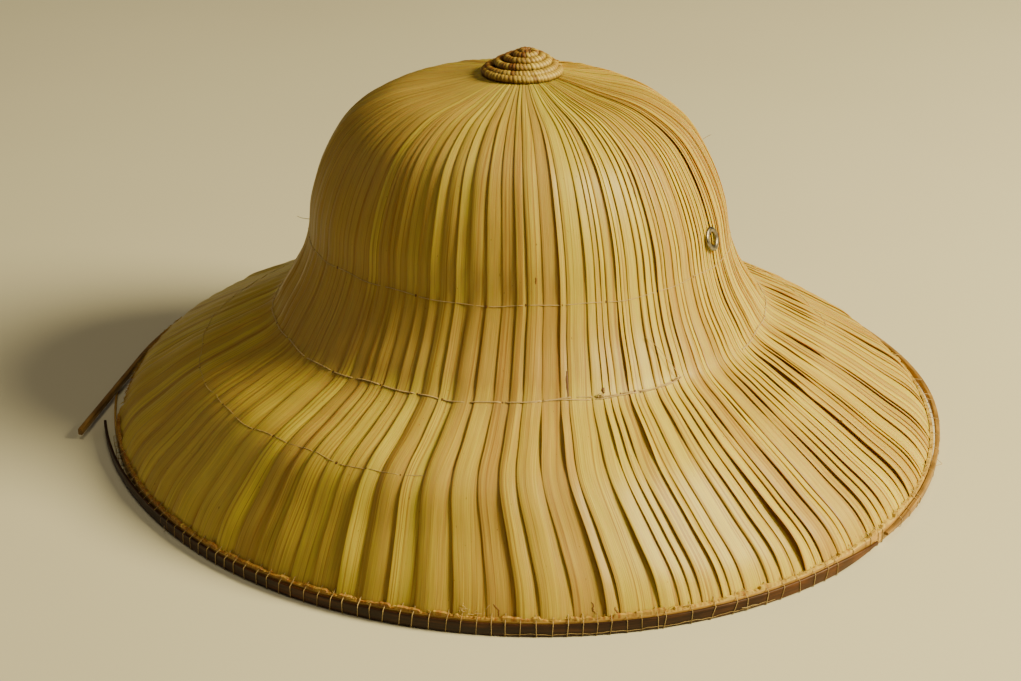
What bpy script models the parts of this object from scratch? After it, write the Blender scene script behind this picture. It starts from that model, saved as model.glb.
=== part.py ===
"""A palm leaf sun hat in the shape of a pith helmet, in metres, with +Z up.

The hat rests on its rim. Its front faces -Y and the two eyelets are at its sides, by -X and +X.
The origin is on the surface that the hat rests on, under the middle of the rim.
"""

from collections import namedtuple
from math import cos, hypot, pi, radians, sin, tau

import bmesh
import bpy
from mathutils import Matrix, Vector

# Leaf body: radii are the mean of the half width and the half length, on the leaf's outer face
RIM_RADIUS = 0.1812
JOIN_RADIUS = 0.1095
CROWN_RADIUS = 0.0909
RIM_LIFT = 0.0008
JOIN_HEIGHT = 0.0579
CROWN_ROW_HEIGHT = 0.0908
TOP_HEIGHT = 0.1618
LEAF_WALL = 0.0016
STRIP_COUNT = 110
FOLD_STEP = 0.0012
HEM_FOLD = 0.0004
FOLD_SLANT = 0.12

# The crown stands a little off the rim's middle and tilts up at one side
CROWN_SHIFT = 0.0040
CROWN_TILT = 3.0
TILT_ANGLE = 296

# Splints round the rim
SPLINT_GAP = 0.0003
TAN_THICKNESS = 0.0010
TAN_WIDTH = 0.0057
TAN_END_WIDTH = 0.0014
TAN_TAPER = 0.100
TAN_END_LIFT = 0.0060
TAN_END_RUN = 0.075
DARK_THICKNESS = 0.0012
DARK_WIDTH = 0.0051
DARK_END_LIFT = 0.0043
DARK_END_RUN = 0.120
BROWN_THICKNESS = 0.0020
BROWN_WIDTH = 0.0031
BROWN_BOTTOM = 0.0023
BROWN_BULGE = 0.0022
LOOSE_LENGTH = 0.074
SPLINT_STEP = 6.0

# Angles round the rim, in degrees from +X towards +Y
TAN_START, TAN_END = 201, 540
DARK_START, DARK_END = 214, 346
BROWN_START, BROWN_END = 348, 554
BULGE_ANGLE, BULGE_SPREAD = 392, 24

# Button on the top of the crown
BUTTON_RADIUS = 0.0176
BUTTON_COIL = 0.0038
BUTTON_RISE = 0.0066
BUTTON_TURNS = 5
BUTTON_GROOVE = 0.45
BUTTON_SIDES = 28

# Eyelets in the sides of the crown, the right one's angle in degrees from +X towards +Y
EYELET_RADIUS = 0.0052
EYELET_HOLE = 0.0028
EYELET_BARREL = 0.0005
EYELET_FLANGE = 0.0006
EYELET_FRONT_FLAT = 0.80
EYELET_BACK_WIDTH = 0.70
EYELET_HEIGHT = 0.1027
EYELET_ANGLE = -3.0
EYELET_SIDES = 16
PIECE_GAP = 0.0003
SMOOTH_ANGLE = 45

# Sections of the brim: reach is the share of the way from the join to the rim, rise the share of
# the join's height, oval how far the half length passes the mean radius, as a share of it, ahead
# and aside the shares of the crown's shift along and across its tilt, and tilt the share of that
BrimSection = namedtuple("BrimSection", "name reach rise oval ahead aside tilt")
BRIM_SECTIONS = (
    BrimSection("edge", 0.930, 0.222, -0.020, 0.10, 0.05, 0.08),
    BrimSection("wide", 0.720, 0.440, -0.006, 0.60, 0.35, 0.45),
    BrimSection("stitch row", 0.450, 0.691, 0.014, 1.20, 0.68, 1.00),
    BrimSection("near", 0.206, 0.846, 0.010, 1.10, 0.47, 1.00),
)

# Sections of the flared foot of the crown: spread is the share of the way from the crown's radius
# to the join's, rise the share of the way from the join's height up to the crown's stitch row
WallSection = namedtuple("WallSection", "name spread rise oval ahead aside tilt")
WALL_SECTIONS = (
    WallSection("flare", 0.660, 0.260, -0.004, 0.87, 0.34, 1.00),
    WallSection("foot", 0.290, 0.590, -0.014, 0.73, 0.37, 1.00),
)

# Sections of the dome: width is the share of the crown's radius, rise the share of the way from the
# crown's stitch row up to the top
DomeSection = namedtuple("DomeSection", "name width rise oval ahead aside tilt")
DOME_SECTIONS = (
    DomeSection("side", 0.969, 0.243, -0.025, 0.33, 0.54, 1.00),
    DomeSection("bow", 0.902, 0.485, -0.025, 0.11, 0.64, 1.00),
    DomeSection("shoulder", 0.796, 0.699, -0.025, -0.09, 0.68, 1.00),
    DomeSection("turn over", 0.620, 0.854, -0.024, -0.23, 0.61, 1.00),
    DomeSection("rise", 0.370, 0.937, -0.018, -0.31, 0.41, 1.00),
)
RIM_OVAL = -0.0214
JOIN_OVAL, JOIN_AHEAD, JOIN_ASIDE = 0.006, 0.98, 0.30
CROWN_ROW_OVAL, CROWN_ROW_AHEAD, CROWN_ROW_ASIDE = -0.025, 0.55, 0.41
CAP_WIDTH, CAP_AHEAD, CAP_ASIDE = 0.090, -0.37, 0.06

Ring = namedtuple("Ring", "radius height oval ahead aside tilt fold")


def mix(low, high, share):
    """The value at a share of the way from low to high."""
    return low + (high - low) * share


def add_ring(rings, radius, height, oval, ahead, aside, tilt=1.0):
    """Adds a section whose fold stands up in proportion to its radius, as the strips widen outward."""
    rings.append(Ring(radius, height, oval, ahead, aside, tilt, FOLD_STEP * radius / RIM_RADIUS))


def leaf_rings():
    """The sections of the leaf's outer face, from the rim's edge up to the cap under the button."""
    hem_top = max(TAN_WIDTH, DARK_WIDTH) + SPLINT_GAP
    rings = [
        Ring(RIM_RADIUS, height, RIM_OVAL, 0.0, 0.0, 0.0, HEM_FOLD) for height in (RIM_LIFT, hem_top)
    ]
    for row in BRIM_SECTIONS:
        radius = mix(JOIN_RADIUS, RIM_RADIUS, row.reach)
        add_ring(rings, radius, JOIN_HEIGHT * row.rise, row.oval, row.ahead, row.aside, row.tilt)
    add_ring(rings, JOIN_RADIUS, JOIN_HEIGHT, JOIN_OVAL, JOIN_AHEAD, JOIN_ASIDE)
    for row in WALL_SECTIONS:
        radius = mix(CROWN_RADIUS, JOIN_RADIUS, row.spread)
        height = mix(JOIN_HEIGHT, CROWN_ROW_HEIGHT, row.rise)
        add_ring(rings, radius, height, row.oval, row.ahead, row.aside, row.tilt)
    add_ring(
        rings, CROWN_RADIUS, CROWN_ROW_HEIGHT, CROWN_ROW_OVAL, CROWN_ROW_AHEAD, CROWN_ROW_ASIDE
    )
    for row in DOME_SECTIONS:
        height = mix(CROWN_ROW_HEIGHT, TOP_HEIGHT, row.rise)
        add_ring(rings, CROWN_RADIUS * row.width, height, row.oval, row.ahead, row.aside, row.tilt)
    add_ring(rings, CROWN_RADIUS * CAP_WIDTH, TOP_HEIGHT, 0.0, CAP_AHEAD, CAP_ASIDE)
    return rings


def shift(ahead, aside):
    """The crown's shift off the rim's middle, at shares along and across the way it tilts up."""
    turn = radians(TILT_ANGLE)
    along = Vector((cos(turn), sin(turn), 0))
    across = Vector((sin(turn), -cos(turn), 0))
    return CROWN_SHIFT * (ahead * along + aside * across)


def ring_point(ring, angle, out=0.0, up=0.0):
    """A point of a section at an angle, moved out along the radius and up."""
    x = (ring.radius * (1 - ring.oval) + out) * cos(angle)
    y = (ring.radius * (1 + ring.oval) + out) * sin(angle)
    turn = radians(TILT_ANGLE)
    tilted = sin(radians(CROWN_TILT)) * ring.tilt * (x * cos(turn) + y * sin(turn))
    return Vector((x, y, ring.height + up + tilted)) + shift(ring.ahead, ring.aside)


def ring_normals(rings):
    """The outward direction at each section, as its shares out along the radius and up."""
    normals = []
    for index in range(len(rings)):
        below = rings[max(index - 1, 0)]
        above = rings[min(index + 1, len(rings) - 1)]
        run = above.radius - below.radius
        rise = above.height - below.height
        length = hypot(run, rise)
        normals.append((rise / length, -run / length))
    normals[0] = normals[1] = (1.0, 0.0)
    normals[-1] = (0.0, 1.0)
    return normals


def material(name, colour, roughness, metallic=0.0):
    """A plain Principled material."""
    made = bpy.data.materials.new(name)
    made.use_nodes = True
    shader = made.node_tree.nodes["Principled BSDF"]
    shader.inputs["Base Color"].default_value = (*colour, 1.0)
    shader.inputs["Roughness"].default_value = roughness
    shader.inputs["Metallic"].default_value = metallic
    return made


def add_object(name, mesh_builder, surface):
    """An object from a bmesh, with its faces turned outward."""
    bmesh.ops.recalc_face_normals(mesh_builder, faces=mesh_builder.faces)
    mesh = bpy.data.meshes.new(name)
    mesh_builder.to_mesh(mesh)
    mesh_builder.free()
    mesh.materials.append(surface)
    made = bpy.data.objects.new(name, mesh)
    bpy.context.scene.collection.objects.link(made)
    return made


def smooth(made):
    """Smooth shading that keeps sharp edges sharp."""
    made.data.shade_smooth()
    made.data.set_sharp_from_angle(angle=radians(SMOOTH_ANGLE))


def band_faces(builder, lower, upper):
    """Quads between two closed rings of as many vertices."""
    count = len(lower)
    for index in range(count):
        after = (index + 1) % count
        builder.faces.new((lower[index], lower[after], upper[after], upper[index]))


def leaf_shell(surface):
    """The overlapping leaf strips as one wall, each strip's near edge folded over its neighbour."""
    rings = leaf_rings()
    builder = bmesh.new()
    outer_rings = []
    inner_rings = []
    pitch = tau / STRIP_COUNT
    for ring, (out, up) in zip(rings, ring_normals(rings)):
        outer = []
        inner = []
        for strip in range(STRIP_COUNT):
            angle = strip * pitch
            raised = ring_point(ring, angle, out * ring.fold, up * ring.fold)
            tucked = ring_point(ring, angle + pitch * (1 - FOLD_SLANT))
            outer += [builder.verts.new(raised), builder.verts.new(tucked)]
            if strip % 2 == 0:
                under = ring_point(ring, angle, -out * LEAF_WALL, -up * LEAF_WALL)
                inner.append(builder.verts.new(under))
        outer_rings.append(outer)
        inner_rings.append(inner)
    for lower, upper in zip(outer_rings, outer_rings[1:]):
        band_faces(builder, lower, upper)
    for lower, upper in zip(inner_rings, inner_rings[1:]):
        band_faces(builder, upper, lower)
    builder.faces.new(outer_rings[-1])
    builder.faces.new(list(reversed(inner_rings[-1])))
    hem_outer, hem_inner = outer_rings[0], inner_rings[0]
    for pair in range(len(hem_inner)):
        after = (pair + 1) % len(hem_inner)
        edge = hem_outer[4 * pair:4 * pair + 4] + [hem_outer[4 * after]]
        builder.faces.new(list(reversed(edge)) + [hem_inner[pair], hem_inner[after]])
    return add_object("leaf_shell", builder, surface)


def rim_path(radius, start, end, lift):
    """Points and outward directions round the rim, each lifted off it by lift(angle in degrees)."""
    steps = max(2, round((end - start) / SPLINT_STEP))
    path = []
    for step in range(steps + 1):
        degrees = mix(start, end, step / steps)
        angle = radians(degrees)
        outward = Vector((cos(angle) * (1 + RIM_OVAL), sin(angle) * (1 - RIM_OVAL), 0)).normalized()
        point = ring_point(Ring(radius, 0.0, RIM_OVAL, 0.0, 0.0, 0.0, 0.0), angle)
        path.append((point + outward * lift(degrees), outward))
    return path


def splint(name, path, thickness, bottoms, widths, surface):
    """A flat splint on edge along a path, with its inner face on the path's points."""
    builder = bmesh.new()
    loops = []
    for (point, outward), bottom, width in zip(path, bottoms, widths):
        low = Vector((0, 0, bottom))
        high = Vector((0, 0, bottom + width))
        far = outward * thickness
        corners = (point + low, point + far + low, point + far + high, point + high)
        loops.append([builder.verts.new(corner) for corner in corners])
    for before, after in zip(loops, loops[1:]):
        band_faces(builder, before, after)
    builder.faces.new(list(reversed(loops[0])))
    builder.faces.new(loops[-1])
    return add_object(name, builder, surface)


def end_lift(start, height, run):
    """A lift that is height at the start angle and fades out along the free end's run."""
    def lift(degrees):
        along = radians(degrees - start) * RIM_RADIUS
        return height * max(0.0, 1 - along / run) ** 2
    return lift


def inner_layer_radius():
    """The inner face of the tan splint, which lies on the leaf ends."""
    return RIM_RADIUS + HEM_FOLD + SPLINT_GAP


def outer_layer_radius():
    """The inner face of the dark and the brown splints, which lie on the tan one."""
    return inner_layer_radius() + TAN_THICKNESS + SPLINT_GAP


def tan_splint(surface):
    """The tan splint on the leaf ends, its thin end sprung off the rim at the left."""
    lift = end_lift(TAN_START, TAN_END_LIFT, TAN_END_RUN)
    path = rim_path(inner_layer_radius(), TAN_START, TAN_END, lift)
    widths = []
    for index in range(len(path)):
        along = radians(index / (len(path) - 1) * (TAN_END - TAN_START)) * RIM_RADIUS
        widths.append(mix(TAN_END_WIDTH, TAN_WIDTH, min(1.0, along / TAN_TAPER) ** 2))
    bottoms = [0.0] * len(path)
    return splint("rim_splint_tan", path, TAN_THICKNESS, bottoms, widths, surface)


def dark_splint(surface):
    """The dark splint round the front, its left end sprung off the rim."""
    lift = end_lift(DARK_START, DARK_END_LIFT, DARK_END_RUN)
    path = rim_path(outer_layer_radius(), DARK_START, DARK_END, lift)
    bottoms = [0.0] * len(path)
    widths = [DARK_WIDTH] * len(path)
    return splint("rim_splint_dark", path, DARK_THICKNESS, bottoms, widths, surface)


def brown_splint(surface):
    """The brown splint round the back, bulging at the right and running off straight at the left."""
    def bulge(degrees):
        share = abs(degrees - BULGE_ANGLE) / BULGE_SPREAD
        return BROWN_BULGE * cos(share * pi / 2) ** 2 if share < 1 else 0.0
    path = rim_path(outer_layer_radius(), BROWN_START, BROWN_END, bulge)
    point, outward = path[-1]
    onward = Vector((-outward.y, outward.x, 0))
    path.append((point + onward * LOOSE_LENGTH, outward))
    bottoms = [BROWN_BOTTOM] * len(path)
    widths = [BROWN_WIDTH] * len(path)
    return splint("rim_splint_brown", path, BROWN_THICKNESS, bottoms, widths, surface)


def turned(name, profile, sides, surface):
    """A closed profile of (radius, height) points turned round Z; a zero radius becomes a tip."""
    builder = bmesh.new()
    loops = []
    for radius, height in profile:
        if radius == 0:
            loops.append([builder.verts.new((0, 0, height))])
            continue
        loop = []
        for side in range(sides):
            angle = tau * side / sides
            loop.append(builder.verts.new((radius * cos(angle), radius * sin(angle), height)))
        loops.append(loop)
    for before, after in zip(loops, loops[1:] + loops[:1]):
        if len(before) == 1 and len(after) == 1:
            continue
        if len(before) == 1 or len(after) == 1:
            tip = before[0] if len(before) == 1 else after[0]
            loop = after if len(before) == 1 else before
            for side in range(sides):
                builder.faces.new((tip, loop[side], loop[(side + 1) % sides]))
            continue
        band_faces(builder, before, after)
    return add_object(name, builder, surface)


def button(surface):
    """The coiled button, a low cone of round turns, seated on the cap of the crown."""
    base = leaf_rings()[-1].fold + PIECE_GAP
    turn_width = BUTTON_RADIUS / BUTTON_TURNS
    profile = [(0, base), (BUTTON_RADIUS - BUTTON_COIL / 4, base)]
    for turn in range(BUTTON_TURNS):
        edge = BUTTON_RADIUS - turn * turn_width
        foot = base + BUTTON_COIL / 2 + BUTTON_RISE * turn / BUTTON_TURNS
        profile.append((edge, foot))
        profile.append((edge - turn_width * BUTTON_GROOVE, foot + BUTTON_COIL / 2))
    profile.append((0, base + BUTTON_COIL / 2 + BUTTON_RISE + BUTTON_COIL / 4))
    made = turned("top_button", profile, BUTTON_SIDES, surface)
    turn = radians(TILT_ANGLE)
    tilt = Matrix.Rotation(-radians(CROWN_TILT), 4, Vector((-sin(turn), cos(turn), 0)))
    place = shift(CAP_AHEAD, CAP_ASIDE) + Vector((0, 0, TOP_HEIGHT))
    made.matrix_world = Matrix.Translation(place) @ tilt
    smooth(made)
    return made


def wall_at(height, angle):
    """The leaf's outer face at a height of the crown: its point and its outward direction."""
    rings = leaf_rings()
    for below, above in zip(rings, rings[1:]):
        if below.height <= height <= above.height and below.height >= JOIN_HEIGHT:
            share = (height - below.height) / (above.height - below.height)
            low, high = ring_point(below, angle), ring_point(above, angle)
            step = tau / STRIP_COUNT
            onward = ring_point(below, angle + step) - ring_point(below, angle - step)
            return low.lerp(high, share), onward.cross(high - low).normalized()
    raise ValueError("The eyelets' height is not on the crown.")


def eyelet(name, angle, surface):
    """A flanged metal tube through the crown's wall."""
    point, outward = wall_at(EYELET_HEIGHT, angle)
    sag = EYELET_RADIUS ** 2 / (2 * CROWN_RADIUS)
    front = FOLD_STEP * CROWN_RADIUS / RIM_RADIUS + PIECE_GAP
    back = -LEAF_WALL - sag - PIECE_GAP
    barrel = EYELET_HOLE + EYELET_BARREL
    inner_flange = mix(barrel, EYELET_RADIUS, EYELET_BACK_WIDTH)
    profile = [
        (EYELET_HOLE, back - EYELET_FLANGE / 2),
        (barrel, back - EYELET_FLANGE),
        (inner_flange, back - EYELET_FLANGE / 2),
        (inner_flange, back),
        (barrel, back),
        (barrel, front),
        (EYELET_RADIUS, front),
        (mix(barrel, EYELET_RADIUS, EYELET_FRONT_FLAT), front + EYELET_FLANGE),
        (barrel, front + EYELET_FLANGE),
        (EYELET_HOLE, front + EYELET_FLANGE / 2),
    ]
    made = turned(name, profile, EYELET_SIDES, surface)
    made.matrix_world = Matrix.Translation(point) @ outward.to_track_quat("Z", "Y").to_matrix().to_4x4()
    smooth(made)
    return made


def eyelet_hole(name, angle, shell):
    """Cuts the hole for an eyelet through the shell."""
    point, outward = wall_at(EYELET_HEIGHT, angle)
    radius = EYELET_HOLE + EYELET_BARREL + PIECE_GAP
    depth = 4 * (LEAF_WALL + FOLD_STEP)
    builder = bmesh.new()
    bmesh.ops.create_cone(
        builder, cap_ends=True, segments=EYELET_SIDES, radius1=radius, radius2=radius, depth=depth
    )
    mesh = bpy.data.meshes.new(name)
    builder.to_mesh(mesh)
    builder.free()
    cutter = bpy.data.objects.new(name, mesh)
    bpy.context.scene.collection.objects.link(cutter)
    cutter.matrix_world = Matrix.Translation(point) @ outward.to_track_quat("Z", "Y").to_matrix().to_4x4()
    cutter.hide_render = True
    cutter.display_type = "WIRE"
    cut = shell.modifiers.new(name, "BOOLEAN")
    cut.operation = "DIFFERENCE"
    cut.solver = "EXACT"
    cut.object = cutter


def build():
    for old in list(bpy.data.objects):
        bpy.data.objects.remove(old, do_unlink=True)
    straw = material("palm_leaf", (0.60, 0.43, 0.17), 0.42)
    tan_wood = material("tan_splint", (0.55, 0.38, 0.16), 0.5)
    dark_wood = material("dark_splint", (0.06, 0.03, 0.012), 0.5)
    brown_wood = material("brown_splint", (0.24, 0.13, 0.05), 0.5)
    coil = material("coiled_fibre", (0.36, 0.20, 0.07), 0.6)
    metal = material("eyelet_metal", (0.62, 0.62, 0.58), 0.35, 1.0)
    shell = leaf_shell(straw)
    tan_splint(tan_wood)
    dark_splint(dark_wood)
    brown_splint(brown_wood)
    button(coil)
    right = radians(EYELET_ANGLE)
    for side, angle in (("right", right), ("left", right + pi)):
        eyelet(f"eyelet_{side}", angle, metal)
        eyelet_hole(f"hole_{side}", angle, shell)


build()
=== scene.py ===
"""A palm leaf sun hat in the shape of a pith helmet, dressed for the render.

Each leaf strip, stitch, splint and coil is a mesh of its own, in metres, with +Z up and the front
towards -Y. Angles go round the hat in degrees from +X towards +Y. Distances called along run from the
cap under the button down to the rim, over the leaf's outer face.
"""

from collections import namedtuple
from math import atan2, cos, pi, radians, sin, tau

import bmesh
import bpy
import numpy as np
from mathutils import Matrix, Vector


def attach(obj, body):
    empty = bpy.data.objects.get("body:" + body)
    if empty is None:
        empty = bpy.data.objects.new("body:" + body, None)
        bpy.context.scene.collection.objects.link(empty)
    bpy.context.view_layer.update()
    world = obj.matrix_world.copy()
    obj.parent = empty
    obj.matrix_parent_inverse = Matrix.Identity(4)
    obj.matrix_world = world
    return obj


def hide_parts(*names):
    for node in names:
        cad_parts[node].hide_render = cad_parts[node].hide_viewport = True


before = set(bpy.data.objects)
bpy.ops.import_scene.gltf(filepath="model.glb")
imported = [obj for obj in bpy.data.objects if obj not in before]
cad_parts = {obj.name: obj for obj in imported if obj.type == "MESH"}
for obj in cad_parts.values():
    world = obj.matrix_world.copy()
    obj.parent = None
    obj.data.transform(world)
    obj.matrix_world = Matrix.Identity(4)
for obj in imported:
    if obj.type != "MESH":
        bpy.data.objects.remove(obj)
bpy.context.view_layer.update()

SEED = 4127

# Camera, from the photo: it stands to the hat's right of the front and looks down on it
CAMERA_PLACE = (0.3480, -0.7138, 0.4323)
CAMERA_AIM = (-0.0026, -0.0069, 0.0369)
CAMERA_LENS = 68.90
SENSOR_WIDTH = 36.0

# The leaf body, as in the part's source
RIM_RADIUS = 0.1812
JOIN_RADIUS = 0.1095
CROWN_RADIUS = 0.0909
RIM_LIFT = 0.0008
HEM_TOP = 0.0060
JOIN_HEIGHT = 0.0579
CROWN_ROW_HEIGHT = 0.0908
TOP_HEIGHT = 0.1618
CROWN_SHIFT = 0.0040
CROWN_TILT = 3.0
TILT_ANGLE = 296
RIM_OVAL = -0.0214

# Each knot of the leaf's outline: radius and height in metres, then the shares that the part's
# source gives: how oval it is, its shift along and across the crown's tilt, and how far it tilts
Knot = namedtuple("Knot", "name radius height oval ahead aside tilt")


def mix(low, high, share):
    """The value at a share of the way from low to high."""
    return low + (high - low) * share


def brim_knot(name, reach, rise, *shares):
    return Knot(name, mix(JOIN_RADIUS, RIM_RADIUS, reach), JOIN_HEIGHT * rise, *shares)


def wall_knot(name, spread, rise, *shares):
    radius = mix(CROWN_RADIUS, JOIN_RADIUS, spread)
    return Knot(name, radius, mix(JOIN_HEIGHT, CROWN_ROW_HEIGHT, rise), *shares)


def dome_knot(name, width, rise, *shares):
    return Knot(name, CROWN_RADIUS * width, mix(CROWN_ROW_HEIGHT, TOP_HEIGHT, rise), *shares)


KNOTS = (
    dome_knot("cap", 0.030, 1.003, 0.0, -0.37, 0.06, 1.0),
    dome_knot("cap edge", 0.120, 0.998, 0.0, -0.37, 0.08, 1.0),
    dome_knot("rise", 0.370, 0.937, -0.018, -0.31, 0.41, 1.0),
    dome_knot("turn over", 0.620, 0.854, -0.024, -0.23, 0.61, 1.0),
    dome_knot("shoulder", 0.796, 0.699, -0.025, -0.09, 0.68, 1.0),
    dome_knot("bow", 0.902, 0.485, -0.025, 0.11, 0.64, 1.0),
    dome_knot("side", 0.969, 0.243, -0.025, 0.33, 0.54, 1.0),
    Knot("crown row", CROWN_RADIUS, CROWN_ROW_HEIGHT, -0.025, 0.55, 0.41, 1.0),
    wall_knot("foot", 0.290, 0.590, -0.014, 0.73, 0.37, 1.0),
    wall_knot("flare", 0.660, 0.260, -0.004, 0.87, 0.34, 1.0),
    Knot("join row", JOIN_RADIUS, JOIN_HEIGHT, 0.006, 0.98, 0.30, 1.0),
    brim_knot("near", 0.206, 0.846, 0.010, 1.10, 0.47, 1.0),
    brim_knot("middle row", 0.450, 0.691, 0.014, 1.20, 0.68, 1.0),
    brim_knot("wide", 0.720, 0.440, -0.006, 0.60, 0.35, 0.45),
    brim_knot("edge", 0.930, 0.222, -0.020, 0.10, 0.05, 0.08),
    Knot("lip", RIM_RADIUS - 0.0009, HEM_TOP + 0.0012, RIM_OVAL, 0.0, 0.0, 0.0),
    Knot("hem top", RIM_RADIUS, HEM_TOP - 0.0006, RIM_OVAL, 0.0, 0.0, 0.0),
    Knot("hem", RIM_RADIUS, RIM_LIFT, RIM_OVAL, 0.0, 0.0, 0.0),
)

# Leaf strips
STRIP_COUNT = 156
LINING_COUNT = 62
STRIP_SPREAD = 0.36
ALONG_STEPS = 150
LINING_STEPS = 90
LEAF_THICKNESS = 0.00050
EDGE_LIFT = 0.00095
FLAT_ANGLE, FLAT_SPREAD = 35, 30
WIDE_ANGLE, WIDE_SPREAD, WIDE_GAIN = 278, 42, 0.50
# Painted shade: strips on the hat's shaded left side are painted darker and less green, above the join row.
SHADY_ANGLE, SHADY_SPREAD = 212, 62
SHADY_LOSS = 0.85
# Painted shade: the front of the wall, between the crown row and the join row, is painted darker.
FRONT_ANGLE, FRONT_SPREAD = 272, 45
WALL_SHADE_LOSS = 0.65
# Painted shade: the dome's upper right side, from the cap down to these rows, is painted darker.
CROWN_SHADE_ANGLE, CROWN_SHADE_SPREAD = 8, 26
CROWN_SHADE_ROWS = (0.070, 0.115)
CROWN_SHADE_LOSS = 0.55
OVERLAP = 0.42
TUCK_DROP = 0.00050
LINING_DEPTH = 0.00095
LINING_LIFT = 0.00045
SIZE_POWER = 0.72

# Bare cut ends at the left, between two angles, and how far in from the rim they were cut
CUT_START, CUT_END = 182, 214
CUT_DEPTH = 0.0086
CUT_LEAN = 0.6
CUT_BARE = 0.0016
CUT_BLEND = 0.05


class Outline:
    """The leaf's outer face: a smooth curve through the knots, swept round the hat."""

    def __init__(self, knots, samples=4000):
        table = np.array([k[1:] for k in knots])
        chord = np.linalg.norm(np.diff(table[:, :2], axis=0), axis=1)
        place = np.concatenate([[0.0], np.cumsum(chord)])
        slope = np.gradient(table, place, axis=0)
        fine = np.linspace(0.0, place[-1], samples)
        index = np.clip(np.searchsorted(place, fine, side="right") - 1, 0, len(place) - 2)
        span = (place[index + 1] - place[index])[:, None]
        t = ((fine - place[index])[:, None]) / span
        low, high = table[index], table[index + 1]
        low_slope, high_slope = slope[index] * span, slope[index + 1] * span
        curve = (
            (2 * t**3 - 3 * t**2 + 1) * low
            + (t**3 - 2 * t**2 + t) * low_slope
            + (3 * t**2 - 2 * t**3) * high
            + (t**3 - t**2) * high_slope
        )
        step = np.linalg.norm(np.diff(curve[:, :2], axis=0), axis=1)
        self.along = np.concatenate([[0.0], np.cumsum(step)])
        self.radius, self.height, self.oval, self.ahead, self.aside, self.tilt = curve.T
        run = np.gradient(self.radius, self.along)
        rise = np.gradient(self.height, self.along)
        length = np.hypot(run, rise)
        self.out, self.up = -rise / length, run / length
        self.length = self.along[-1]
        self.knot = {k.name: float(np.interp(p, fine, self.along)) for k, p in zip(knots, place)}

    def value(self, column, along):
        return np.interp(along, self.along, column)

    def point(self, along, angle, lift):
        """Points at distances along, at angles in radians and lifts off the face, as one array."""
        radius = self.value(self.radius, along)
        oval = self.value(self.oval, along)
        ahead = CROWN_SHIFT * self.value(self.ahead, along)
        aside = CROWN_SHIFT * self.value(self.aside, along)
        tilt = sin(radians(CROWN_TILT)) * self.value(self.tilt, along)
        turn = radians(TILT_ANGLE)
        out = self.value(self.out, along) * lift
        x = (radius * (1 - oval) + out) * np.cos(angle)
        y = (radius * (1 + oval) + out) * np.sin(angle)
        z = self.value(self.height, along) + self.value(self.up, along) * lift
        z = z + tilt * (x * cos(turn) + y * sin(turn))
        x = x + ahead * cos(turn) + aside * sin(turn)
        y = y + ahead * sin(turn) - aside * cos(turn)
        return np.stack(np.broadcast_arrays(x, y, z), axis=-1)

    def normal(self, along, angle):
        out, up = self.value(self.out, along), self.value(self.up, along)
        parts = np.broadcast_arrays(out * np.cos(angle), out * np.sin(angle), up)
        return np.stack(parts, axis=-1)


outline = Outline(KNOTS)
CROWN_ROW = outline.knot["crown row"]
JOIN_ROW = outline.knot["join row"]
MIDDLE_ROW = outline.knot["middle row"]
HEM_ROW = outline.knot["hem top"]


class Pile:
    """The closed grids of one piece, with what its material reads: leaf place, tone and dark; tone and dark
    carry painted light and shade as well as colour.
    """

    def __init__(self):
        self.points = []
        self.leaf = []
        self.tone = []
        self.quads = []
        self.caps = []
        self.count = 0

    def add(self, points, leaf, tone, ring=False):
        """A grid of points (along, around), closed around and, in a ring, along as well."""
        rows, columns = points.shape[:2]
        base = self.count + np.arange(rows * columns).reshape(rows, columns)
        if ring:
            base = np.concatenate([base, base[:1]])
        near, far = base[:-1], base[1:]
        quads = np.stack(
            [near, np.roll(near, -1, 1), np.roll(far, -1, 1), far], axis=-1
        ).reshape(-1, 4)
        caps = [] if ring else [list(base[0][::-1]), list(base[-1])]
        flat = points.reshape(-1, 3)
        corner = flat[quads - self.count]
        middle = flat.mean(axis=0)
        edge_one, edge_two = corner[:, 2] - corner[:, 0], corner[:, 3] - corner[:, 1]
        facing = np.cross(edge_one, edge_two)
        if np.einsum("ij,ij->", corner.mean(axis=1) - middle, facing) < 0:
            quads = quads[:, ::-1]
            caps = [cap[::-1] for cap in caps]
        self.points.append(flat)
        self.leaf.append(np.broadcast_to(leaf, points.shape).reshape(-1, 3))
        self.tone.append(np.broadcast_to(tone, points.shape).reshape(-1, 3))
        self.quads.append(quads)
        self.caps += [[int(i) for i in cap] for cap in caps]
        self.count += len(flat)

    def build(self, name, surface, sharp=38):
        """The piece as an object, with its faces smooth but for edges sharper than an angle."""
        mesh = bpy.data.meshes.new(name)
        faces = np.concatenate(self.quads).tolist() + self.caps
        mesh.from_pydata(np.concatenate(self.points).tolist(), [], faces)
        for label, values in (("leaf", self.leaf), ("tone", self.tone)):
            layer = mesh.attributes.new(label, "FLOAT_VECTOR", "POINT")
            layer.data.foreach_set("vector", np.concatenate(values).astype(np.float32).ravel())
        mesh.shade_smooth()
        mesh.set_sharp_from_angle(angle=radians(sharp))
        mesh.materials.append(surface)
        made = bpy.data.objects.new(name, mesh)
        bpy.context.scene.collection.objects.link(made)
        return made


def across_up(path, reference):
    """Two unit directions square to a path at each of its points, the second near a reference."""
    along = np.gradient(path, axis=0)
    along /= np.linalg.norm(along, axis=1)[:, None]
    side = np.cross(along, reference)
    side /= np.linalg.norm(side, axis=1)[:, None] + 1e-12
    return side, np.cross(side, along)


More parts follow.
